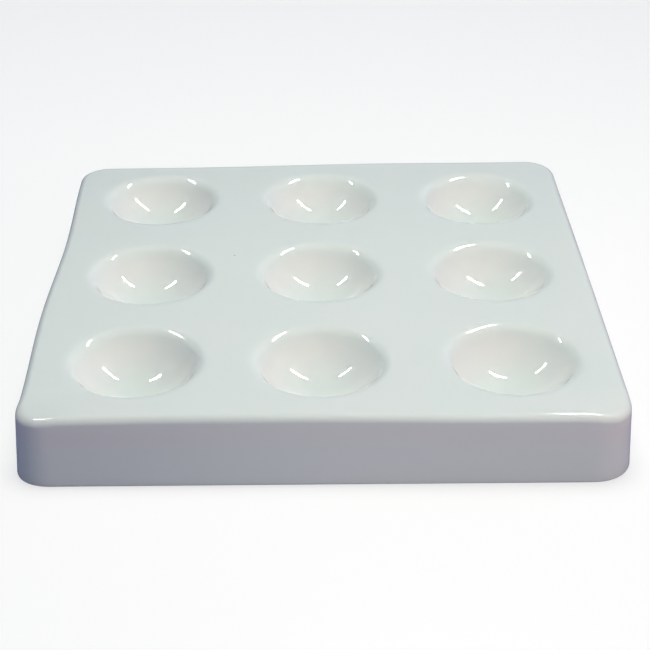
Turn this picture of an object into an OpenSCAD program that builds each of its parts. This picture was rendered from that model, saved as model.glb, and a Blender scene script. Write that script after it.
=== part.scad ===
// Porcelain mixing palette: a square slab with a grid of round colour wells. It is one
// cast body, with a fired glaze coat over its top and sides and another inside its open
// underside. Its foot stands on z = 0 and its front edge faces -Y. Millimetres.

/* [Slab] */
// Width of the slab at its foot, left to right
slab_w = 95; // [93:1:104]
// Depth of the slab at its foot, front to back
slab_d = 95; // [93:1:104]
// Height of the slab, from the foot to the top face
slab_h = 12; // [11.5:0.5:15]
// Plan radius of the four upright corners, at the foot
corner_r = 6; // [5:0.5:8]
// Radius that softens the edge between the top face and the sides
top_edge_r = 1.3; // [1:0.1:2]
// Radius that softens the outer edge of the foot
foot_edge_r = 0.8; // [0.4:0.1:1.2]
// Angle at which the sides spread outward towards the foot
side_draft = 3; // [1:0.5:4]

/* [Wells] */
// Wells in each row and in each column
wells_a_side = 3; // [2:1:3]
// Distance between the centres of neighbouring wells
well_pitch = 30; // [29:0.5:31]
// Depth of each well below the top face
well_depth = 6.2; // [5:0.1:6.8]
// Radius of the sphere that each well's bowl is part of
bowl_r = 11.6; // [11:0.1:12]
// Radius of the soft lip that leads from the top face into each bowl
lip_r = 2.4; // [1.5:0.1:3]

/* [Underside] */
// Thickness of the cast wall under the top face and round the bowls
wall_t = 3.2; // [2.5:0.1:3.5]
// Width of the foot that runs round the open underside
foot_w = 3.6; // [3:0.1:4]
// Plan radius of the recess's upright corners, at the foot
recess_corner_r = 4; // [3:0.5:5]
// Radius inside the recess where its sides meet its ceiling
recess_edge_r = 1.2; // [0.8:0.1:1.5]
// Radius where the underside of each bowl meets the recess's ceiling
bowl_foot_r = 2.3; // [1.5:0.1:2.5]

/* [Glaze] */
// Thickness of each glaze coat
glaze_t = 0.3; // [0.2:0.05:0.4]
// Height of the bare clay at the foot, wiped clean before firing
bare_h = 0.4; // [0.2:0.1:2]

/* [Hidden] */
hull_steps = 32;     // facets round a hulled corner post
arc_steps = 6;       // facets across an edge radius
past = 1;            // how far a cutter runs past the face that it cuts
lip_lift = 0.02;     // how far a lip's arc would rise past the flat face, so that the two cross cleanly
bowl_z = slab_h - well_depth + bowl_r;    // height of the bowl sphere's centre

// Points along an arc of radius r about (x, z), from angle a to angle b
function arc(x, z, r, a, b) =
    [for (i = [0:arc_steps]) let (t = a + (b - a) * i / arc_steps) [x + r * cos(t), z + r * sin(t)]];

// How far from a post's axis the arc of an edge has its centre, for an edge of radius r at height z
function edge_x(foot_r, r, z) = foot_r - z * tan(side_draft) - r / cos(side_draft);

// Where the wells' centres fall along one axis
function well_places() = [for (i = [0:wells_a_side - 1]) (i - (wells_a_side - 1) / 2) * well_pitch];

// A hull of four round posts that lean inward with the draft. Their axes stand post_in
// inside the slab's sides, and foot_r is their radius at z = 0.
module leaning_block(post_in, foot_r, top_z, top_r, low_points) {
    edge_z = top_z - top_r;
    hull()
        for (x = [-1, 1], y = [-1, 1])
            translate([x * (slab_w / 2 - post_in), y * (slab_d / 2 - post_in), 0])
                rotate_extrude($fn = hull_steps)
                    polygon(concat(
                        low_points,
                        arc(edge_x(foot_r, top_r, edge_z), edge_z, top_r, side_draft, 90),
                        [[0, top_z]]));
}

// The slab without its wells, with every face but the foot moved in by inset
module slab_block(inset) {
    foot_r = corner_r - inset;
    foot_arc = arc(edge_x(foot_r, foot_edge_r, foot_edge_r), foot_edge_r, foot_edge_r, -90, side_draft);
    leaning_block(corner_r, foot_r, slab_h - inset, top_edge_r - inset, concat([[0, 0]], foot_arc));
}

// The space inside the foot, up to the ceiling, with every face moved out by grow
module recess_block(grow) {
    foot_r = recess_corner_r + grow;
    leaning_block(foot_w + recess_corner_r, foot_r, slab_h - wall_t + grow, recess_edge_r + grow,
        [[0, -past], [foot_r + past * tan(side_draft), -past]]);
}

// Everything above the surface of a bowl of radius ball_r whose soft lip, of radius
// lip, leads out to a flat face at height flat_z
module well_form(ball_r, lip, flat_z) {
    lip_z = flat_z - lip + lip_lift;
    lip_x = sqrt(pow(ball_r + lip, 2) - pow(bowl_z - lip_z, 2));
    // The bowl meets the lip on the line that joins their centres
    meet_z = bowl_z + (lip_z - bowl_z) * ball_r / (ball_r + lip);
    rotate_extrude($fn = 96)
        difference() {
            square([lip_x, slab_h + past]);
            translate([lip_x, lip_z]) circle(lip);
            difference() {
                translate([-past, -past]) square([lip_x + 2 * past, meet_z + past]);
                translate([0, bowl_z]) circle(ball_r);
            }
        }
}

module all_wells(ball_r, lip, flat_z) {
    for (x = well_places(), y = well_places())
        translate([x, y, 0]) well_form(ball_r, lip, flat_z);
}

// The slab with its wells, without the recess below
module dished_slab(inset) {
    difference() {
        slab_block(inset);
        all_wells(bowl_r + inset, lip_r - inset, slab_h - inset);
    }
}

// The open recess under the slab, which follows the wells at the thickness of the wall
module recess(grow) {
    difference() {
        recess_block(grow);
        all_wells(bowl_r + wall_t - grow, bowl_foot_r + grow, slab_h - wall_t + grow);
    }
}

// The bare band at the foot, which the glaze leaves free
module foot_band() {
    translate([-slab_w, -slab_d, -2 * past]) cube([2 * slab_w, 2 * slab_d, 2 * past + bare_h]);
}

module porcelain_body() {
    color("#e6e1d8")
        difference() {
            dished_slab(glaze_t);
            recess(glaze_t);
        }
}

module outer_glaze() {
    color("#d3dcd7")
        difference() {
            dished_slab(0);
            dished_slab(glaze_t);
            foot_band();
        }
}

module underside_glaze() {
    color("#d3dcd7")
        difference() {
            recess(glaze_t);
            recess(0);
            foot_band();
        }
}

porcelain_body();
outer_glaze();
underside_glaze();
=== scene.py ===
"""The looks of the porcelain mixing palette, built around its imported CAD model.

The three layers of the real thing are three closed meshes: the porcelain body, the glaze over its
top and sides, and the glaze inside its open underside. All three are worked out from one set of
surfaces, so they fit each other like the CAD solids that they replace. Sizes are in millimetres and
become metres when a mesh is made.
"""

import math
import random

import bpy
import numpy as np
from mathutils import Matrix, Vector


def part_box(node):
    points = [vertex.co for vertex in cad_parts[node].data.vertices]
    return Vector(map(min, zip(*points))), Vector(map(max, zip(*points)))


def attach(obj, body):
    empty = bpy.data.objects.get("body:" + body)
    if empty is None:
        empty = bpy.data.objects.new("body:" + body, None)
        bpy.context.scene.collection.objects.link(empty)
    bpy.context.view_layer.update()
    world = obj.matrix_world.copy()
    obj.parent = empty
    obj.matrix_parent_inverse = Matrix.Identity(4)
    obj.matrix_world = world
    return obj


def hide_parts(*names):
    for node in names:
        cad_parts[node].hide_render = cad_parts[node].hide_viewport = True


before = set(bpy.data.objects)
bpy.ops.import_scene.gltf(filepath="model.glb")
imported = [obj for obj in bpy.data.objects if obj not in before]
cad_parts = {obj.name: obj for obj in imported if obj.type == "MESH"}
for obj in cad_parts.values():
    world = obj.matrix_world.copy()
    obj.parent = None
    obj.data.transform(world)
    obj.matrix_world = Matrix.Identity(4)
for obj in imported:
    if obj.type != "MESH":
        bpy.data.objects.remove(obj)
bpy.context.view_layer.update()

MM = 0.001

# ---------------------------------------------------------------- sizes

HALF = (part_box("outer_glaze")[1].x / MM + 0.04)  # half of the slab's width and depth, at its foot
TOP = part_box("outer_glaze")[1].z / MM  # height of the top face
DRAFT = math.radians(3.0)  # the sides spread outward towards the foot
CORNER_R = 6.0
TOP_EDGE_R = 1.3
FOOT_EDGE_R = 0.8

PITCH = 30.0
WELL_DEPTH = 6.2
BOWL_R = 11.6
LIP_R = 2.4

WALL_T = 3.2
FOOT_W = 3.6
RECESS_CORNER_R = 4.0
RECESS_EDGE_R = 1.2
BOWL_FOOT_R = 2.3

GLAZE_T = 0.3
BARE_H = 0.4

# What follows from them
BOWL_Z = TOP - WELL_DEPTH + BOWL_R
LIP_X = math.sqrt((BOWL_R + LIP_R) ** 2 - (BOWL_Z - TOP + LIP_R) ** 2)
STEEPEST = math.asin(LIP_X / (BOWL_R + LIP_R))  # slope where a bowl meets its lip
SIDE_R = CORNER_R - (TOP - TOP_EDGE_R) * math.tan(DRAFT) - TOP_EDGE_R / math.cos(DRAFT)
FACE_HALF = HALF - CORNER_R + SIDE_R  # where the flat top ends and its edge begins to round
RECESS_EDGE_Z = TOP - WALL_T - RECESS_EDGE_R
CEILING_HALF = HALF - FOOT_W - RECESS_EDGE_Z * math.tan(DRAFT) - RECESS_EDGE_R / math.cos(DRAFT)
CEILING_R = RECESS_CORNER_R - (HALF - FOOT_W - CEILING_HALF)

# ---------------------------------------------------------------- mesh density

CELL = 60  # quads along each side of a well's square cell; the grid has three cells a side
BOWL_RINGS = 13
LIP_RINGS = 12
EDGE_STEPS = 8
WALL_STEPS = 6
FOOT_STEPS = 5
GRID = 3 * CELL


def smooth(t):
    """0 below 0, 1 above 1, and an even S-shaped rise between them."""
    t = np.clip(t, 0.0, 1.0)
    return t * t * (3.0 - 2.0 * t)


# ---------------------------------------------------------------- the grid that every face shares


def line_place(t, half):
    """Where grid line t falls, for t from -1.5 to 1.5 in cells, on a face that reaches half."""
    outer = PITCH / 2 + (np.abs(t) - 0.5) * (half - PITCH / 2)
    return np.where(np.abs(t) <= 0.5, t * PITCH, np.sign(t) * outer)


def round_corners(x, y, half, radius):
    """Bends the square corners of a grid into round ones, each a quarter of a disc."""
    start = half - radius
    a = np.maximum(np.abs(x) - start, 0.0)
    b = np.maximum(np.abs(y) - start, 0.0)
    far = np.maximum(a, b)
    turn = np.where(a >= b, b / np.maximum(a, 1e-9), 2.0 - a / np.maximum(b, 1e-9)) * math.pi / 4
    inside = (a > 0) & (b > 0)
    new_x = np.where(inside, np.sign(x) * (start + far * np.cos(turn)), x)
    new_y = np.where(inside, np.sign(y) * (start + far * np.sin(turn)), y)
    return new_x, new_y


def plain_grid(half, radius):
    """A square grid with rounded corners, (GRID + 1) points a side."""
    t = np.linspace(-1.5, 1.5, GRID + 1)
    tx, ty = np.meshgrid(t, t, indexing="ij")
    return round_corners(line_place(tx, half), line_place(ty, half), half, radius)


def ring_radii():
    """Radius of each ring of grid points round a well, closest where the surface turns most."""
    bowl = BOWL_R * np.sin(np.linspace(0, STEEPEST, BOWL_RINGS + 1))
    lip = LIP_X - LIP_R * np.sin(np.linspace(STEEPEST, 0, LIP_RINGS + 1))[1:]
    land = np.full(CELL // 2 - BOWL_RINGS - LIP_RINGS, LIP_X)
    return np.concatenate([bowl, lip, land])


def welled_grid():
    """The top face's grid, whose lines run in rings round each well and straight between them."""
    steps = np.arange(GRID + 1)
    i, j = np.meshgrid(steps, steps, indexing="ij")
    x, y = np.empty(i.shape), np.empty(i.shape)
    half_cell = CELL // 2
    radii = ring_radii()
    for ci in range(3):
        for cj in range(3):
            si, sj = slice(ci * CELL, (ci + 1) * CELL + 1), slice(cj * CELL, (cj + 1) * CELL + 1)
            p = i[si, sj] - ci * CELL - half_cell
            q = j[si, sj] - cj * CELL - half_cell
            ring = np.maximum(np.abs(p), np.abs(q))
            u, v = p / np.maximum(ring, 1), q / np.maximum(ring, 1)
            angle = np.where(np.abs(p) >= np.abs(q), 0, 1)
            turn = np.where(angle == 0, v * np.sign(p), 2 - u * np.sign(q)) * math.pi / 4
            side = np.where(angle == 0, np.sign(p), np.sign(q))
            radius = radii[ring]
            round_x, round_y = side * radius * np.cos(turn), side * radius * np.sin(turn)
            centre_x, centre_y = (ci - 1) * PITCH, (cj - 1) * PITCH
            square_x = line_place(ci - 1 + u / 2, FACE_HALF) - centre_x
            square_y = line_place(cj - 1 + v / 2, FACE_HALF) - centre_y
            blend_from = BOWL_RINGS + LIP_RINGS - 3
            w = smooth((ring - blend_from) / (half_cell - blend_from))
            x[si, sj] = centre_x + round_x * (1 - w) + square_x * w
            y[si, sj] = centre_y + round_y * (1 - w) + square_y * w
    return round_corners(x, y, FACE_HALF, SIDE_R)


def rim_order():
    """Indices of a grid's border points, once round, anticlockwise from above."""
    n = GRID
    front = [(k, 0) for k in range(n)]
    right = [(n, k) for k in range(n)]
    back = [(n - k, n) for k in range(n)]
    left = [(0, n - k) for k in range(n)]
    return np.array([a * (n + 1) + b for a, b in front + right + back + left])


RIM = rim_order()


def rim_normals(x, y, half, radius):
    """The outward direction at each border point of a grid with rounded corners."""
    start = half - radius
    a = np.sign(x) * np.maximum(np.abs(x) - start, 0.0)
    b = np.sign(y) * np.maximum(np.abs(y) - start, 0.0)
    length = np.maximum(np.hypot(a, b), 1e-9)
    return a / length, b / length


# ---------------------------------------------------------------- the surfaces


def from_well(x, y):
    """Distance from the axis of the nearest well, and the direction away from it."""
    dx = x - PITCH * np.clip(np.round(x / PITCH), -1, 1)
    dy = y - PITCH * np.clip(np.round(y / PITCH), -1, 1)
    r = np.hypot(dx, dy)
    return r, dx / np.maximum(r, 1e-9), dy / np.maximum(r, 1e-9)


def well_height(r, ball_r, lip, flat):
    """Height, at distance r from its axis, of a bowl whose soft lip leads out to a flat face."""
    lip_z = flat - lip
    lip_x = math.sqrt((ball_r + lip) ** 2 - (BOWL_Z - lip_z) ** 2)
    bowl = BOWL_Z - np.sqrt(np.maximum(ball_r**2 - r**2, 0))
    edge = lip_z + np.sqrt(np.maximum(lip**2 - (lip_x - r) ** 2, 0))
    return np.where(r < lip_x * ball_r / (ball_r + lip), bowl, np.where(r < lip_x, edge, flat))


def well_slope(r):
    """Angle of the glazed surface of a well at distance r from its axis."""
    meet = LIP_X * BOWL_R / (BOWL_R + LIP_R)
    bowl = np.arcsin(np.clip(r / BOWL_R, 0, 1))
    lip = np.arcsin(np.clip((LIP_X - r) / LIP_R, 0, 1))
    return np.where(r < meet, bowl, lip)


def top_face(inset):
    """The top face with its wells, moved in by inset along its own normals."""
    x, y = welled_grid()
    r, ux, uy = from_well(x, y)
    slope = well_slope(r)
    z = well_height(r, BOWL_R, LIP_R, TOP)
    x = x + inset * np.sin(slope) * ux
    y = y + inset * np.sin(slope) * uy
    return np.stack([x, y, z - inset * np.cos(slope)], axis=-1)


def ceiling_face(grow):
    """The recess's ceiling with the undersides of the wells, moved up by grow into the body."""
    x, y = plain_grid(CEILING_HALF, CEILING_R)
    return np.stack([x, y, ceiling_height(x, y, grow)], axis=-1)


def ceiling_height(x, y, grow):
    """Height of the recess's ceiling, which keeps the wall's thickness under every well."""
    r, _, _ = from_well(x, y)
    return well_height(r, BOWL_R + WALL_T - grow, BOWL_FOOT_R + grow, TOP - WALL_T + grow)


def rings_from(x, y, nx, ny, profile):
    """Rings of points round a face: each (out, z) of the profile lies out from the face's border."""
    rings = []
    for out, z in profile:
        height = np.broadcast_to(z, x.shape)
        rings.append(np.stack([x + nx * out, y + ny * out, height], axis=-1))
    return rings


def arc(out, z, r, start, end, steps):
    """Points after the first one along an arc in a side profile, with angles in radians."""
    turns = np.linspace(start, end, steps + 1)[1:]
    return [(out + r * math.cos(t), z + r * math.sin(t)) for t in turns]


def line(a, b, steps):
    """Points after a, up to and with b."""
    return [(a[0] + (b[0] - a[0]) * k / steps, a[1] + (b[1] - a[1]) * k / steps) for k in range(1, steps + 1)]


def side_profile(inset, lowest_turn):
    """The slab's side from the top face's border down to where its foot arc has turned that far."""
    edge = arc(0.0, TOP - TOP_EDGE_R, TOP_EDGE_R - inset, math.pi / 2, DRAFT, EDGE_STEPS)
    foot_out = CORNER_R - FOOT_EDGE_R * math.tan(DRAFT) - FOOT_EDGE_R / math.cos(DRAFT) - SIDE_R - inset
    foot = arc(foot_out, FOOT_EDGE_R, FOOT_EDGE_R, DRAFT, lowest_turn, FOOT_STEPS)
    start = (foot_out + FOOT_EDGE_R * math.cos(DRAFT), FOOT_EDGE_R * (1 + math.sin(DRAFT)))
    return edge + line(edge[-1], start, WALL_STEPS) + foot


def top_border():
    """The points of the top face's border, with their outward directions."""
    x, y = welled_grid()
    x, y = x.ravel()[RIM], y.ravel()[RIM]
    nx, ny = rim_normals(x, y, FACE_HALF, SIDE_R)
    return x, y, nx, ny


def side_rings(inset, lowest_turn):
    """The slab's side as rings, moved in by inset."""
    return rings_from(*top_border(), side_profile(inset, lowest_turn))


def recess_rings(grow, lowest):
    """The recess's side, from its ceiling's border down to the height lowest."""
    x, y = plain_grid(CEILING_HALF, CEILING_R)
    x, y = x.ravel()[RIM], y.ravel()[RIM]
    nx, ny = rim_normals(x, y, CEILING_HALF, CEILING_R)
    edge_r = RECESS_EDGE_R + grow
    rings = []
    for turn in np.linspace(0, math.pi / 2 - DRAFT, EDGE_STEPS // 2 + 1)[1:]:
        px, py = x + nx * edge_r * math.sin(turn), y + ny * edge_r * math.sin(turn)
        z = ceiling_height(px, py, grow) - edge_r * (1 - math.cos(turn))
        rings.append(np.stack([px, py, z], axis=-1))
    top = rings[-1]
    foot_out = HALF - FOOT_W + grow - CEILING_HALF - lowest * math.tan(DRAFT)
    foot = np.stack([x + nx * foot_out, y + ny * foot_out, np.full(x.shape, lowest)], axis=-1)
    for k in range(1, WALL_STEPS + 1):
        rings.append(top + (foot - top) * k / WALL_STEPS)
    return rings


# ---------------------------------------------------------------- made by hand


# How far a well pressed by hand strays from its nominal place and form, either way
WELL_SHIFT = 0.4  # millimetres sideways
WELL_NARROWING = 0.03  # share of the bowl's width
WELL_LEAN = 1.5  # degrees
WELL_DEPTH_STRAY = 0.2  # millimetres

# Distances from a well's axis between which each deviation fades away, in millimetres
SHIFT_FADE = (12.5, 16.5)
BOWL_FADE = (4.0, 10.5)
LEAN_FADE = (6.5, 12.0)


def well_character():
    """One set of small deviations for each well, drawn in a fixed order."""
    draws = random.Random(1)
    limits = (WELL_SHIFT, WELL_SHIFT, WELL_NARROWING, WELL_LEAN, WELL_LEAN, WELL_DEPTH_STRAY)
    places = [(column, row) for row in (1, 0, -1) for column in (-1, 0, 1)]
    return {place: [draws.uniform(-limit, limit) for limit in limits] for place in places}


WELL_CHARACTER = well_character()


def fade(distance, full, gone):
    """1 up to the distance full, falling smoothly to 0 at gone."""
    return 1.0 - smooth((distance - full) / (gone - full))


def shaped_wells(x, y, z):
    """Points moved by the deviations of the wells round them."""
    new_x, new_y, new_z = x.copy(), y.copy(), z.copy()
    for (column, row), (right, back, narrow, lean_x, lean_y, deeper) in WELL_CHARACTER.items():
        dx, dy = x - column * PITCH, y - row * PITCH
        r = np.hypot(dx, dy)
        whole, bowl = fade(r, *SHIFT_FADE), fade(r, *BOWL_FADE)
        new_x += right * whole - narrow * dx * bowl
        new_y += back * whole - narrow * dy * bowl
        lean = math.tan(math.radians(lean_x)) * dx + math.tan(math.radians(lean_y)) * dy
        new_z += lean * fade(r, *LEAN_FADE) - deeper * bowl
    return new_x, new_y, new_z


# How the outline strays from a square, in millimetres
SIDE_FROM = 36  # the sides' shaping sets in here
SIDE_BLEND = 10
CORNER_FROM = 39  # and the front corners' here
CORNER_BLEND = 8
LEFT_WAVE = 0.31
LEFT_WAVE_LENGTH = 54
LEFT_SHIFT = 0.1
RIGHT_SHIFT = 0.05
RIGHT_TAPER = 0.15
FRONT_SHIFT = 0.35
FRONT_LEAN_BACK = 0.75
BACK_LEFT_END = -1.1
BACK_RISE = 1.9
LEFT_CORNER_OUT = 0.9
LEFT_CORNER_FORWARD = 0.1
RIGHT_CORNER_OUT = 0.15
RIGHT_CORNER_BACK = 0.2
LEFT_FRONT_DROOP = 0.35
LEFT_CORNER_DROOP = 0.8
RIGHT_CORNER_DROOP = 1.1


def outside(distance, start=SIDE_FROM, blend_width=SIDE_BLEND):
    """0 up to start, rising smoothly to 1 over blend_width."""
    return smooth((distance - start) / blend_width)


def shaped_sides(x, y, z):
    """Sides that are not quite straight, corners that are not quite alike."""
    left, right, front, back = outside(-x), outside(x), outside(-y), outside(y)
    at_front = outside(-y, CORNER_FROM, CORNER_BLEND)
    corner_left = outside(-x, CORNER_FROM, CORNER_BLEND) * at_front
    corner_right = outside(x, CORNER_FROM, CORNER_BLEND) * at_front

    wave = LEFT_WAVE * np.cos(2 * math.pi * (y + 14) / LEFT_WAVE_LENGTH)
    new_x = x - left * (wave - LEFT_SHIFT)
    new_x = new_x + right * (RIGHT_SHIFT - RIGHT_TAPER * smooth((y - 5) / 45))
    new_x = new_x - LEFT_CORNER_OUT * corner_left + RIGHT_CORNER_OUT * corner_right

    lean_back = FRONT_LEAN_BACK * (z / TOP) * (1 - smooth((x + 5) / 35))
    back_edge = BACK_LEFT_END + BACK_RISE * smooth((x + 45) / 72)
    new_y = y + back * back_edge - front * (FRONT_SHIFT - lean_back)
    new_y = new_y - LEFT_CORNER_FORWARD * corner_left + RIGHT_CORNER_BACK * corner_right

    droop = LEFT_FRONT_DROOP * smooth((-x - 20) / 26) * smooth((-y - 38) / 8)
    droop = droop + LEFT_CORNER_DROOP * corner_left + RIGHT_CORNER_DROOP * corner_right
    return new_x, new_y, z - droop * (z / TOP) ** 2


def by_hand(points):
    """The small unevenness of a piece that was cast, trimmed and fired, the same for every layer."""
    x, y, z = shaped_sides(*shaped_wells(*points.T))
    wave = 0.04 * np.sin(x / 7 + 1) * np.sin(y / 9 + 2) * (z / TOP)
    return np.stack([x, y, z + wave], axis=-1)


# ---------------------------------------------------------------- meshes


def grid_quads(first, facing_up):
    """Faces of a grid whose points start at index first."""
    n = GRID + 1
    a = first + (np.arange(GRID)[:, None] * n + np.arange(GRID)[None, :]).ravel()
    quads = np.stack([a, a + n, a + n + 1, a + 1], axis=-1)
    return quads if facing_up else quads[:, ::-1]


def closed_mesh(name, top, rings, bottom, material, node):
    """A closed mesh: a grid that faces up, rings down its outside, and a grid that faces down."""
    n_grid = (GRID + 1) ** 2
    n_rim = len(RIM)
    points = np.concatenate([top.reshape(-1, 3)] + rings + [bottom.reshape(-1, 3)])
    rims = [RIM] + [n_grid + k * n_rim + np.arange(n_rim) for k in range(len(rings))]
    last = n_grid + len(rings) * n_rim
    rims.append(last + RIM)
    quads = [grid_quads(0, True)]
    for upper, lower in zip(rims, rims[1:]):
        quads.append(np.stack([upper, lower, np.roll(lower, -1), np.roll(upper, -1)], axis=-1))
    quads.append(grid_quads(last, False))
    mesh = bpy.data.meshes.new(name)
    mesh.from_pydata((by_hand(points) * MM).tolist(), [], np.concatenate(quads).tolist())
    mesh.shade_smooth()
    mesh.materials.append(material)
    piece = bpy.data.objects.new(name, mesh)
    bpy.context.scene.collection.objects.link(piece)
    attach(piece, "root")
    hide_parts(node)


# ---------------------------------------------------------------- materials


def new_material(name):
    """A material with an empty node tree."""
    material = bpy.data.materials.new(name)
    material.use_nodes = True
    material.node_tree.nodes.clear()
    return material


def add_node(tree, kind, settings=(), values=()):
    """A new node with its settings and the values of its unlinked inputs."""
    node = tree.nodes.new(kind)
    for name, setting in settings:
        setattr(node, name, setting)
    for name, value in values:
        node.inputs[name].default_value = value
    return node


def noise(tree, place, size, detail=2.0):
    """Noise whose lumps are about size millimetres wide."""
    node = add_node(tree, "ShaderNodeTexNoise", values=[("Scale", 1 / (size * MM)), ("Detail", detail)])
    tree.links.new(place, node.inputs["Vector"])
    return node.outputs["Fac"]


def remap(tree, value, low, high, to_low, to_high):
    """value from low to high, brought smoothly to the range from to_low to to_high."""
    node = add_node(
        tree,
        "ShaderNodeMapRange",
        settings=[("interpolation_type", "SMOOTHSTEP")],
        values=[("From Min", low), ("From Max", high), ("To Min", to_low), ("To Max", to_high)],
    )
    tree.links.new(value, node.inputs["Value"])
    return node.outputs["Result"]


def blend(tree, amount, first, second):
    """The colour first where amount is 0, second where it is 1; each a colour or an output."""
    node = add_node(tree, "ShaderNodeMix", settings=[("data_type", "RGBA")])
    tree.links.new(amount, node.inputs["Factor"])
    for name, colour in (("A", first), ("B", second)):
        socket = next(s for s in node.inputs if s.name == name and s.type == "RGBA")
        if isinstance(colour, tuple):
            socket.default_value = (*colour, 1)
        else:
            tree.links.new(colour, socket)
    return next(s for s in node.outputs if s.type == "RGBA")


def bump(tree, height, depth, normal=None):
    """A normal from a height that runs from 0 to 1 over depth millimetres."""
    node = add_node(tree, "ShaderNodeBump", values=[("Strength", 1.0), ("Distance", depth * MM)])
    tree.links.new(height, node.inputs["Height"])
    if normal:
        tree.links.new(normal, node.inputs["Normal"])
    return node.outputs["Normal"]


def new_shader(name):
    """An empty material with a Principled shader, and the place on the piece for its textures."""
    material = new_material(name)
    tree = material.node_tree
    out = add_node(tree, "ShaderNodeOutputMaterial")
    shader = add_node(tree, "ShaderNodeBsdfPrincipled")
    tree.links.new(shader.outputs["BSDF"], out.inputs["Surface"])
    place = add_node(tree, "ShaderNodeTexCoord").outputs["Object"]
    return material, tree, shader, place


def specks(tree, place, spacing, radius, share):
    """1 on a few tiny round specks: one cell in every 1 / share holds one."""
    cells = add_node(tree, "ShaderNodeTexVoronoi", values=[("Scale", 1 / (spacing * MM))])
    tree.links.new(place, cells.inputs["Vector"])
    near = remap(tree, cells.outputs["Distance"], radius / spacing, 1.6 * radius / spacing, 1.0, 0.0)
    split = add_node(tree, "ShaderNodeSeparateColor")
    tree.links.new(cells.outputs["Color"], split.inputs["Color"])
    less_than = [("operation", "LESS_THAN")]
    chosen = add_node(tree, "ShaderNodeMath", settings=less_than, values=[(1, share)])
    tree.links.new(split.outputs["Red"], chosen.inputs[0])
    both = add_node(tree, "ShaderNodeMath", settings=[("operation", "MULTIPLY")])
    tree.links.new(near, both.inputs[0])
    tree.links.new(chosen.outputs["Value"], both.inputs[1])
    return both.outputs["Value"]


CERAMIC_IOR = 1.5
GLAZE_GREEN = (0.815, 0.862, 0.84)
GLAZE_PALE = (0.825, 0.858, 0.838)
GLAZE_WARM = (0.84, 0.843, 0.825)
GLAZE_POOLED = (0.815, 0.86, 0.83)
IRON_SPECK = (0.34, 0.31, 0.27)
CLAY_LIGHT = (0.74, 0.70, 0.62)
CLAY_DARK = (0.68, 0.63, 0.55)
CLAY_GRAIN = (0.56, 0.50, 0.42)


def glaze_material():
    """Faintly green glaze, tinted by height, with rare iron specks.

    It is warmer below the top face, in the wells and on the sides alike, and turns greener again
    from the height of the wells' floors down.
    """
    material, tree, shader, place = new_shader("glaze")
    shader.inputs["IOR"].default_value = CERAMIC_IOR

    clouds = remap(tree, noise(tree, place, 14.0), 0.35, 0.65, 0.0, 1.0)
    colour = blend(tree, clouds, GLAZE_GREEN, GLAZE_PALE)
    apart = add_node(tree, "ShaderNodeSeparateXYZ")
    tree.links.new(place, apart.inputs["Vector"])
    height = apart.outputs["Z"]
    below_top = remap(tree, height, (TOP - 2.5) * MM, (TOP - 0.2) * MM, 1.0, 0.0)
    colour = blend(tree, below_top, colour, GLAZE_WARM)
    pooled = remap(tree, height, (TOP - WELL_DEPTH - 0.5) * MM, (TOP - 3.5) * MM, 1.0, 0.0)
    colour = blend(tree, pooled, colour, GLAZE_POOLED)
    speck = specks(tree, place, 8.0, 0.13, 0.08)
    colour = blend(tree, speck, colour, IRON_SPECK)
    tree.links.new(colour, shader.inputs["Base Color"])

    rough = remap(tree, noise(tree, place, 5.0, 3.0), 0.3, 0.7, 0.02, 0.045)
    tree.links.new(rough, shader.inputs["Roughness"])

    swell = bump(tree, noise(tree, place, 7.0, 1.0), 0.012)
    ripple = bump(tree, noise(tree, place, 1.6, 1.0), 0.0012, swell)
    tree.links.new(ripple, shader.inputs["Normal"])
    return material


def porcelain_material():
    """Bare fired clay: matte and warm white, with a fine grain."""
    material, tree, shader, place = new_shader("porcelain")
    shader.inputs["IOR"].default_value = CERAMIC_IOR

    clouds = remap(tree, noise(tree, place, 6.0, 3.0), 0.3, 0.7, 0.0, 1.0)
    colour = blend(tree, clouds, CLAY_LIGHT, CLAY_DARK)
    grains = specks(tree, place, 0.9, 0.1, 0.25)
    colour = blend(tree, grains, colour, CLAY_GRAIN)
    tree.links.new(colour, shader.inputs["Base Color"])

    rough = remap(tree, noise(tree, place, 1.2, 2.0), 0.3, 0.7, 0.72, 0.88)
    tree.links.new(rough, shader.inputs["Roughness"])
    tree.links.new(bump(tree, noise(tree, place, 0.4, 3.0), 0.03), shader.inputs["Normal"])
    return material


# ---------------------------------------------------------------- the pieces

glaze = glaze_material()
porcelain = porcelain_material()

bare_turn = -math.asin((FOOT_EDGE_R - BARE_H) / FOOT_EDGE_R)
outer_skin = side_rings(0.0, bare_turn)
outer_back = side_rings(GLAZE_T, bare_turn)
closed_mesh(
    "outer_glaze_coat",
    top_face(0.0),
    outer_skin + outer_back[::-1],
    top_face(GLAZE_T),
    glaze,
    "outer_glaze",
)
closed_mesh(
    "porcelain_slab",
    top_face(GLAZE_T),
    side_rings(GLAZE_T, -math.pi / 2) + recess_rings(GLAZE_T, 0.0)[::-1],
    ceiling_face(GLAZE_T),
    porcelain,
    "porcelain_body",
)
closed_mesh(
    "underside_glaze_coat",
    ceiling_face(GLAZE_T),
    recess_rings(GLAZE_T, BARE_H) + recess_rings(0.0, BARE_H)[::-1],
    ceiling_face(0.0),
    glaze,
    "underside_glaze",
)

# ---------------------------------------------------------------- camera, floor and light


def direction(azimuth, elevation):
    """Unit vector from azimuth, turning from the front towards the right, and elevation, in degrees."""
    a, e = math.radians(azimuth), math.radians(elevation)
    return Vector((math.sin(a) * math.cos(e), -math.cos(a) * math.cos(e), math.sin(e)))


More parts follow.
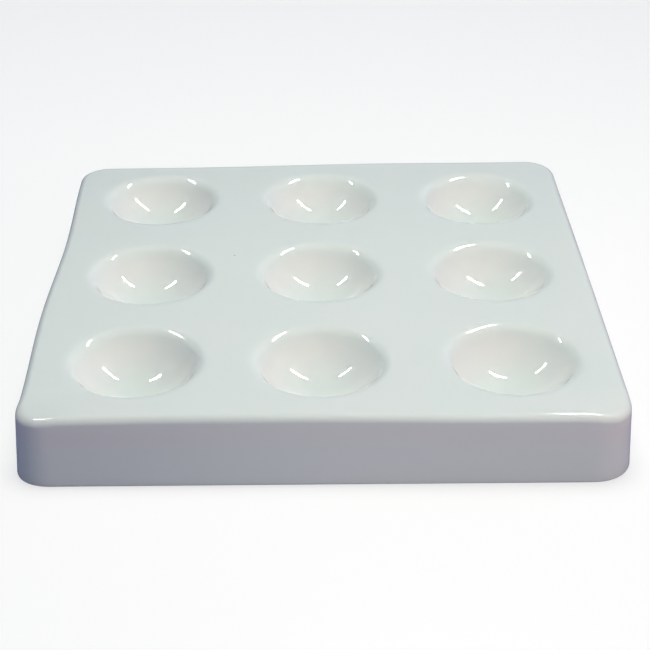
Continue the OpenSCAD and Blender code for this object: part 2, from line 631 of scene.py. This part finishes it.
def aim(obj, place, towards, up=(0, 0, 1)):
    """Puts obj at place with its -Z along the vector towards."""
    back = -Vector(towards).normalized()
    right = Vector(up).cross(back).normalized()
    turn = Matrix((right, back.cross(right), back)).transposed()
    obj.matrix_world = Matrix.Translation(Vector(place)) @ turn.to_4x4()


# The camera: angles in degrees, lens, target and distance in millimetres, and the shift as a share
# of the frame's width
CAMERA_LENS = 85.4
CAMERA_ELEVATION = 29.7
CAMERA_TURN = -0.5
CAMERA_ROLL = -0.2
CAMERA_TARGET = (0.2, -19.0, TOP)
CAMERA_DISTANCE = 254
CAMERA_SHIFT = 0.003


def add_camera():
    data = bpy.data.cameras.new("camera")
    data.sensor_width = 36
    data.lens = CAMERA_LENS
    data.clip_start, data.clip_end = 0.01, 20
    camera = bpy.data.objects.new("camera", data)
    bpy.context.scene.collection.objects.link(camera)
    away = direction(CAMERA_TURN, CAMERA_ELEVATION)
    target = Vector(CAMERA_TARGET) * MM
    aim(camera, target + away * CAMERA_DISTANCE * MM, -away)
    roll = Matrix.Rotation(math.radians(CAMERA_ROLL), 4, "Z")
    camera.matrix_world = camera.matrix_world @ roll
    data.shift_x = CAMERA_SHIFT
    bpy.context.scene.camera = camera


def strip_light(name, centre, half, width, radiance):
    """A long area light from centre - half to centre + half, turned towards the palette."""
    centre, half = Vector(centre) * MM, Vector(half) * MM
    along = half.normalized()
    towards = -centre
    towards = (towards - along * towards.dot(along)).normalized()
    data = bpy.data.lights.new(name, "AREA")
    data.shape = "RECTANGLE"
    data.size = 2 * half.length
    data.size_y = width * MM
    data.energy = radiance * math.pi * data.size * data.size_y
    light = bpy.data.objects.new(name, data)
    turn = Matrix((along, (-towards).cross(along), -towards)).transposed()
    light.matrix_world = Matrix.Translation(centre) @ turn.to_4x4()
    light.visible_diffuse = False
    bpy.context.scene.collection.objects.link(light)


FLOOR_HALF = 3.0  # metres
FLOOR_BOUNCE = (0.25, 0.25, 0.4)  # what the floor reflects onto the palette
FLOOR_SEEN = (0.3, 0.3, 0.3)  # what the camera sees, with the glow added
FLOOR_GLOW = 0.72


def add_floor():
    """A plain floor, paler to the camera than in the light that it sends to the palette."""
    mesh = bpy.data.meshes.new("floor")
    s = FLOOR_HALF
    mesh.from_pydata([(-s, -s, 0), (s, -s, 0), (s, s, 0), (-s, s, 0)], [], [(0, 1, 2, 3)])
    floor = bpy.data.objects.new("floor", mesh)
    bpy.context.scene.collection.objects.link(floor)
    material = new_material("floor")
    nodes, links = material.node_tree.nodes, material.node_tree.links
    out = nodes.new("ShaderNodeOutputMaterial")
    bounce = nodes.new("ShaderNodeBsdfDiffuse")
    bounce.inputs["Color"].default_value = (*FLOOR_BOUNCE, 1)
    seen = nodes.new("ShaderNodeBsdfDiffuse")
    seen.inputs["Color"].default_value = (*FLOOR_SEEN, 1)
    glow = nodes.new("ShaderNodeEmission")
    glow.inputs["Strength"].default_value = FLOOR_GLOW
    pale = nodes.new("ShaderNodeAddShader")
    links.new(seen.outputs["BSDF"], pale.inputs[0])
    links.new(glow.outputs["Emission"], pale.inputs[1])
    path = nodes.new("ShaderNodeLightPath")
    mix = nodes.new("ShaderNodeMixShader")
    links.new(path.outputs["Is Camera Ray"], mix.inputs["Fac"])
    links.new(bounce.outputs["BSDF"], mix.inputs[1])
    links.new(pale.outputs["Shader"], mix.inputs[2])
    links.new(mix.outputs["Shader"], out.inputs["Surface"])
    mesh.materials.append(material)


# The studio's soft light: three tints, each used at a plain strength
PALE_GREEN = (0.95, 1.0, 0.85)
WARM = (1.0, 0.75, 0.6)
COOL = (0.6, 0.7, 1.0)


def tint(colour, strength):
    """The colour at that strength."""
    return tuple(channel * strength for channel in colour)


AMBIENT = tint(COOL, 0.23)
# Broad glows of the surroundings: azimuth and elevation in degrees, tightness, colour
GLOWS = [
    (0, 90, 2, tint(WARM, 0.1)),
    (135, 20, 4, tint(COOL, 0.5)),
]


def add_world():
    """The light from all round: an even ambient with each glow added to it."""
    world = bpy.data.worlds.new("studio")
    bpy.context.scene.world = world
    world.use_nodes = True
    nodes, links = world.node_tree.nodes, world.node_tree.links
    background = nodes["Background"]
    place = nodes.new("ShaderNodeTexCoord")
    total = None
    for azimuth, elevation, tightness, colour in GLOWS:
        facing = nodes.new("ShaderNodeVectorMath")
        facing.operation = "DOT_PRODUCT"
        facing.inputs[1].default_value = direction(azimuth, elevation)
        links.new(place.outputs["Generated"], facing.inputs[0])
        ahead = nodes.new("ShaderNodeMath")
        ahead.operation = "MAXIMUM"
        ahead.inputs[1].default_value = 0.0
        links.new(facing.outputs["Value"], ahead.inputs[0])
        spread = nodes.new("ShaderNodeMath")
        spread.operation = "POWER"
        spread.inputs[1].default_value = tightness
        links.new(ahead.outputs["Value"], spread.inputs[0])
        tinted = nodes.new("ShaderNodeVectorMath")
        tinted.operation = "MULTIPLY_ADD"
        tinted.inputs[1].default_value = colour
        tinted.inputs[2].default_value = AMBIENT
        links.new(spread.outputs["Value"], tinted.inputs[0])
        if total:
            links.new(total, tinted.inputs[2])
        total = tinted.outputs["Vector"]
    links.new(total, background.inputs["Color"])


def soft_panel(name, place, aimed_at, size, colour):
    """A round soft light near the palette, which brightens it without a mirror image in the glaze."""
    place, aimed_at = Vector(place) * MM, Vector(aimed_at) * MM
    towards = aimed_at - place
    data = bpy.data.lights.new(name, "AREA")
    data.shape = "DISK"
    data.size = size * MM
    data.energy = (math.pi * towards.length) ** 2
    data.color = colour
    panel = bpy.data.objects.new(name, data)
    aim(panel, place, towards, up=(0, 1, 0))
    panel.visible_glossy = False
    panel.visible_camera = False
    bpy.context.scene.collection.objects.link(panel)


add_camera()
strip_light("right_strip", (125, 90, 270), (-35, 35, 50), 14, 150)
strip_light("left_strip", (-185, 120, 335), (-5, 60, 110), 18, 120)
soft_panel("overhead_panel", (5, -5, 260), (5, -5, 12), 120, tint(PALE_GREEN, 0.65))
soft_panel("front_right_panel", (270, -190, 120), (0, 0, 0), 120, tint(WARM, 0.2))
soft_panel("front_panel", (15, -130, 15), (15, -47, 6), 60, tint(PALE_GREEN, 0.2))
add_floor()
add_world()
bpy.context.scene.view_settings.view_transform = "Standard"
